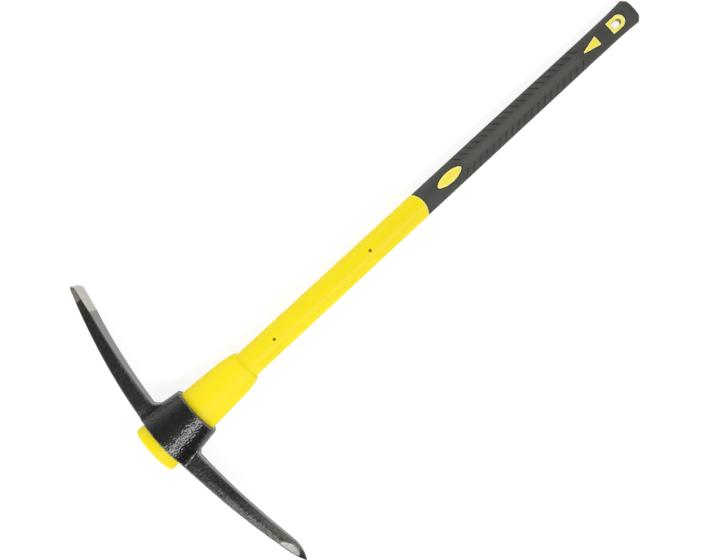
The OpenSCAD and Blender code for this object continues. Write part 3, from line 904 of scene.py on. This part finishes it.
def chiselField(x, y, z):
    root, reach, edge = chisel["outerRoot"][1], chisel["reach"], chisel["outerEdge"]
    half = between(chisel["rootHalf"], chisel["edgeHalf"], np.clip((y - root) / (reach - root), 0, 1))
    flanks = roundMax(np.abs(z) - half, y - reach, chisel["corner"])
    faces = armFaces(x, y, chisel, chiselOuter, chiselInner)
    arm = roundMax(faces, flanks, np.interp(y, chisel["roundAt"], chisel["round"]))
    bevel = pastLine(x, y, edge, leftOf(np.array(chisel["innerEdge"]) - edge))
    return np.maximum(roundMax(arm, bevel, chisel["bladeRound"]), head["armFrom"] - y)


def facetField(x, y, z):
    lean, start = math.radians(point["facetLean"]), point["facetFrom"]
    return pastLine(x, y, start, point["facetAcross"]) * math.sin(lean) + (np.abs(z) - start[2]) * math.cos(lean)


def pointField(x, y, z):
    v = -y
    # the flanks swell to a soft ridge along the arm
    swell = point["crown"] * smoothStep(point["crownFrom"], point["crownTo"], v)
    ridge = point["ridge"] - np.sqrt(towardsCrown(x, v) ** 2 + point["ridgeSoft"])
    half = np.interp(v, point["halfAt"], point["half"]) + swell * ridge
    faces = armFaces(x, v, point, pointOuter, pointInner)
    arm = roundMax(faces, (np.abs(z) - half) * point["flankSlope"], point["edgeRound"])
    arm = roundMax(arm, facetField(x, y, z), point["facetRound"])
    return np.maximum(roundMax(arm, v - point["reach"], point["tipRound"]), head["armFrom"] - v)


def headField(x, y, z):
    body = roundMin(eyeField(x, y, z), chiselField(x, y, z), head["weld"])
    body = roundMin(body, pointField(x, y, z), head["weld"])
    return roundMax(body, -holeField(x, y, z), head["holeEdge"])


def aside(field, points, reach):
    # the field a little ahead and a little behind, along each axis
    return [(field(*(points + shift).T), field(*(points - shift).T)) for shift in np.eye(3) * reach]


def fieldSlope(field, points, reach):
    return np.stack([(ahead - behind) / (2 * reach) for ahead, behind in aside(field, points, reach)], axis=1)


def skinField(name, field, low, high, cell):
    # one point in each grid cell that the surface crosses, drawn on to the surface, and a face round each crossed edge
    axes = [np.arange(a, b + cell, cell) for a, b in zip(low, high)]
    values = field(*np.meshgrid(*axes, indexing="ij"))
    inside = values < 0
    corners = np.array([(i, j, k) for i in (0, 1) for j in (0, 1) for k in (0, 1)])
    span = np.array(values.shape) - 1
    count = sum(inside[i:i + span[0], j:j + span[1], k:k + span[2]].astype(int) for i, j, k in corners)
    crossed = (count > 0) & (count < 8)
    cells = np.argwhere(crossed)
    number = np.full(crossed.shape, -1)
    number[crossed] = np.arange(len(cells))
    atCorner = np.stack([values[tuple((cells + c).T)] for c in corners], axis=1)
    total, hits = np.zeros((len(cells), 3)), np.zeros(len(cells))
    for a, b in [(a, b) for a in range(8) for b in range(a + 1, 8) if np.abs(corners[a] - corners[b]).sum() == 1]:
        va, vb = atCorner[:, a], atCorner[:, b]
        hit = (va < 0) != (vb < 0)
        share = np.where(hit, va / np.where(hit, va - vb, 1), 0)
        total += hit[:, None] * between(corners[a], corners[b], share[:, None])
        hits += hit
    points = np.array(low) + (cells + total / hits[:, None]) * cell
    for _ in range(3):
        slope = fieldSlope(field, points, 0.05)
        step = field(*points.T)[:, None] * slope / np.maximum((slope ** 2).sum(axis=1), 0.2)[:, None]
        points -= np.clip(step, -0.5 * cell, 0.5 * cell)
    faces = []
    for axis in range(3):
        u, w = (axis + 1) % 3, (axis + 2) % 3
        near, far = np.delete(inside, -1, axis), np.delete(inside, 0, axis)
        loop = ((1, 1), (0, 1), (0, 0), (1, 0))
        for mask, order in ((near & ~far, loop), (far & ~near, loop[::-1])):
            edges = np.argwhere(mask)
            quad = []
            for du, dw in order:
                at = edges.copy()
                at[:, u] -= du
                at[:, w] -= dw
                quad.append(number[tuple(at.T)])
            faces.append(np.stack(quad, axis=1))
    return points, makePiece(name, points, np.vstack(faces).tolist())


ground = {
    "side": 0.6, "outer": -0.4, "sideEdge": 0.35,  # slopes past which a face counts as a side or as the outer one
    "bladeFrom": 190.0, "pointFrom": -150.0,  # ground steel and its dulling and painted shade lie past these
    # how much the ground steel is dulled and shaded
    "sideDullingAndShade": 0.87, "faceDullingAndShade": 0.62, "facetDulling": 0.8, "facetDullingEnd": (208.0, 221.0),
}


def paintLine(points, slope):
    # how far a point lies past the paint line, in millimetres
    x, y, _ = points.T
    sideways = np.abs(slope[:, 2])
    line = np.where(sideways > ground["side"], chisel["sidePaintLine"], chisel["innerPaintLine"])
    line = np.where(slope[:, 0] < ground["outer"], chisel["outerPaintLine"], line)
    onBlade = y - line
    # on the side, a dark line along the edge to the inner face
    inner, steep = chiselInner(y)
    fromEdge = (inner - x) * steep
    dark = (sideways > ground["sideEdge"]) & (fromEdge < chisel["darkEdge"]) & (y < chisel["darkEdgeEnd"])
    onBlade = np.where(dark, np.minimum(onBlade, -0.15), onBlade)
    # the facet is bright steel, dark at its tip and along its outer edge
    onFacet = 0.7 - 2.2 * np.abs(facetField(*points.T))
    onFacet -= 3.0 * smoothStep(point["darkTip"] - 3.0, point["darkTip"] + 3.0, -y)
    onFacet -= 2.5 * smoothStep(0.72, 0.95, towardsCrown(x, -y))
    return np.clip(np.where(y < ground["pointFrom"], onFacet, onBlade), -4.0, 4.0)


def groundDullingAndShade(points, slope):
    # painted reflection and shade: the ground steel dulled to olive on the sides of the blade, less on its face; and
    # dulled where the facet begins
    y = points[:, 1]
    blade = np.where(np.abs(slope[:, 2]) > ground["side"], ground["sideDullingAndShade"], ground["faceDullingAndShade"])
    facet = ground["facetDulling"] * (1 - smoothStep(*ground["facetDullingEnd"], -y))
    return np.where(y > ground["bladeFrom"], blade, np.where(y < ground["pointFrom"], facet, 0.0))


def wornPaintAndSheen(points, slope):
    # painted sheen and scuffed paint on the point's flanks, lighter grey, most on the half towards the crown and at the
    # nose
    x, v = points[:, 0], -points[:, 1]
    towards = towardsCrown(x, v)
    half = smoothStep(-0.15, 0.2, towards) * np.interp(v, point["wearAndSheenAt"], point["wearAndSheen"])
    half *= 1 - 0.8 * smoothStep(0.7, 0.95, towards)
    nose = smoothStep(110.0, 212.0, v) * (0.45 + 0.5 * smoothStep(0.0, 0.6, -towards))
    flank = np.maximum(half, nose) * (1 - smoothStep(233.0, 242.0, v))
    blade = 0.16 * smoothStep(190.0, 219.0, -v)
    root = 0.4 * np.exp(-((x - 27.0) / 6.0) ** 2 - ((v + 50.0) / 5.0) ** 2)  # knocked at the root of the chisel
    return np.max([flank, blade, root], axis=0) * smoothStep(0.4, 0.7, np.abs(slope[:, 2]))


def hammered(points, seed):
    # waves a few millimetres long, from all sides
    chance, count = np.random.default_rng(seed), head["waves"]
    ways = chance.normal(size=(count, 3))
    ways *= (2 * math.pi / chance.uniform(*head["waveLength"], count) / np.linalg.norm(ways, axis=1))[:, None]
    return np.sin(points @ ways.T + chance.uniform(0, 2 * math.pi, count)).sum(axis=1) / math.sqrt(count / 2)


def hammerSkin(piece, points, slope):
    # lumps on the eye, strokes across the arms, none in the eye's hole or on ground steel
    y = points[:, 1]
    onArm = smoothStep(*head["armLumpsFrom"], np.abs(y))
    armLumps = np.where(y > 0, head["chiselLumps"], head["pointLumps"]) * hammered(points * head["armWaves"], 5)
    lumps = (1 - onArm) * head["lumps"] * hammered(points, 3) + onArm * armLumps
    lumps *= smoothStep(0.8, 3.0, holeField(*points.T)) * np.clip(-paintLine(points, slope), 0, 1)
    piece.data.vertices.foreach_set("co", ((points + slope * lumps[:, None]) * mm).ravel())
    piece.data.update()


def buildHead():
    points, piece = skinField("pick_head_forging", headField, head["low"], head["high"], head["cell"])
    x, y, _ = points.T
    slope = fieldSlope(headField, points, 0.1)
    slope /= np.maximum(np.linalg.norm(slope, axis=1), 1e-6)[:, None]
    for name, mask in (("bare", paintLine), ("steelDullingAndShade", groundDullingAndShade), ("wearAndSheen", wornPaintAndSheen)):
        putAttribute(piece, name, mask(points, slope))
    putAttribute(piece, "strokes", smoothStep(-0.3, 0.2, towardsCrown(x, -y)))
    # the eye's rims and the roots of the arms are rubbed most; the crease at the root of the point gets a painted glint
    bendiness = sum(ahead + behind for ahead, behind in aside(headField, points, 1.2))
    (outer, _), (inner, _) = chiselOuter(y), chiselInner(y)
    onInner = smoothStep(-0.3, 0.5, (x - outer) / (inner - outer) * 2 - 1)
    rubbed = np.interp(y, head["rubbedAt"], head["rubbed"]) * np.where(y > 46, 0.15 + 0.85 * onInner, 1.0)
    creaseGlint = np.clip(-bendiness / 0.9, 0, 1) * np.interp(y, head["creaseGlintAt"], (0, 1, 1, 0)) * (x < head["creaseGlintSide"])
    putAttribute(piece, "edge", np.maximum(rubbed * np.clip(bendiness / 1.1, 0, 1), creaseGlint))
    hammerSkin(piece, points, slope)
    smoothFaces(piece, 60)
    return piece


pickHead = buildHead()
dress(pickHead, forgedPaint)
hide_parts("pick_head")
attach(pickHead, "head")
print("pick head:", len(pickHead.data.polygons), "faces")

dress(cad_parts["fibreglass_core"], glassRod)


# floor, light and camera

studio = {
    "size": 6.0,
    "rests": ((83.0, 0.0, -30.5), (73.0, 243.0, -26.6), (893.0, 0.0, -16.8)),
    "dipFrom": 898.5, "dipTo": 903.5, "dip": 14.5,  # room past the butt for a head that has been slid off
    "floorShade": 0.24, "floorGlow": 0.84, "floorBounce": 0.8,
    "horizon": 1.0, "zenith": 0.14, "lean": 0.10,  # the sky is brighter on the chisel side
    "lamps": {
        "key": {"at": (0.10, -1.23, 2.0), "aim": (0.10, 0.0, 0.0), "size": (2.6, 0.62), "power": 34.5},
        "crownSide": {"at": (-1.35, -0.6, 1.65), "aim": (0.05, -0.15, 0.0), "size": (1.1, 0.7), "power": 12.0},
        "fill": {"at": (0.35, 1.7, 0.75), "aim": (0.35, 0.0, 0.0), "size": (2.6, 0.9), "power": 16.5},
    },
    "notMirrored": "fill",
    "flag": {"x": (-260.0, 95.0), "y": -310.0, "height": 320.0},  # dark card that the eye mirrors, out of the picture
}


def buildFloor():
    a, b, c = (np.array(p) for p in studio["rests"])
    normal = np.cross(b - a, c - a)
    height = lambda x, y: a[2] - ((x - a[0]) * normal[0] + (y - a[1]) * normal[1]) / normal[2]
    half = studio["size"] / mm / 2
    xs = [-half, studio["dipFrom"], studio["dipTo"], half]
    points = []
    for x in xs:
        drop = studio["dip"] if x > studio["dipFrom"] else 0.0
        points += [(x, y, height(min(x, studio["dipFrom"]), y) - drop) for y in (-half, half)]  # level past the dip
    floor = makePiece("floor", points, [(i, i + 2, i + 3, i + 1) for i in range(0, len(points) - 2, 2)])
    material, tree, spare = newMaterial("paleFloor")
    tree.nodes.remove(spare)
    rays = tree.nodes.new("ShaderNodeLightPath").outputs
    seen = calc(tree, "MAXIMUM", rays["Is Camera Ray"], rays["Is Glossy Ray"])
    seen = calc(tree, "MAXIMUM", seen, rays["Is Transmission Ray"])
    greys = [(studio[key],) * 3 + (1,) for key in ("floorShade", "floorBounce")]
    shaded, bounce = (add(tree, "ShaderNodeBsdfDiffuse", {"Color": grey}).outputs[0] for grey in greys)
    glow = add(tree, "ShaderNodeEmission", {"Strength": studio["floorGlow"]}).outputs[0]
    both = add(tree, "ShaderNodeAddShader", {0: glow, 1: shaded}).outputs[0]
    pick = add(tree, "ShaderNodeMixShader", {"Fac": seen, 1: bounce, 2: both}).outputs[0]
    feed(tree, tree.nodes["Material Output"].inputs, {"Surface": pick})
    dress(floor, material)


def buildFlag():
    card = studio["flag"]
    (left, right), y, top = card["x"], card["y"], card["height"]
    flag = makePiece("flag", [(left, y, -30), (right, y, -30), (right, y, top), (left, y, top)], [(0, 1, 2, 3)])
    material, tree, felt = newMaterial("flagFelt")
    feed(tree, felt.inputs, {"Base Color": (0.01, 0.01, 0.01, 1), "Specular IOR Level": 0.0})
    dress(flag, material)
    flag.visible_camera = flag.visible_diffuse = flag.visible_shadow = False  # only mirrored


def buildSky():
    scene.world = bpy.data.worlds.new("studioSky")
    scene.world.use_nodes = True
    tree = scene.world.node_tree
    aim = axesOf(tree, whereOn(tree, "Generated"))
    shade = ramp(tree, aim["Z"], 0.06, 0.82, studio["horizon"], studio["zenith"])
    lean = calc(tree, "MULTIPLY_ADD", aim["Y"], studio["lean"], 1.0)
    feed(tree, tree.nodes["Background"].inputs, {"Color": (1, 1, 1, 1), "Strength": product(tree, shade, lean)})


def addSoftbox(name, lamp):
    data = bpy.data.lights.new(name, "AREA")
    data.shape = "RECTANGLE"
    data.size, data.size_y = lamp["size"]
    data.energy = lamp["power"]
    box = putIn(name, data)
    box.location = lamp["at"]
    box.rotation_euler = (Vector(lamp["aim"]) - Vector(lamp["at"])).to_track_quat("-Z", "Y").to_euler()
    box.visible_glossy = name != studio["notMirrored"]


view = {
    "at": (0.5143, -0.0553, 2.07375), "turn": -42.753,
    "lens": 76.15, "shift": (-0.1402, -0.0738),
}


def addCamera():
    data = bpy.data.cameras.new("camera")
    data.lens = view["lens"]
    data.sensor_width = 36.0
    data.shift_x, data.shift_y = view["shift"]
    scene.camera = putIn("camera", data)
    scene.camera.location = view["at"]
    scene.camera.rotation_euler = (0, 0, math.radians(view["turn"]))


buildFloor()
buildFlag()
buildSky()
for name, lamp in studio["lamps"].items():
    addSoftbox(name, lamp)
addCamera()
scene.view_settings.view_transform = "Standard"
print("stage set")

bpy.context.view_layer.update()
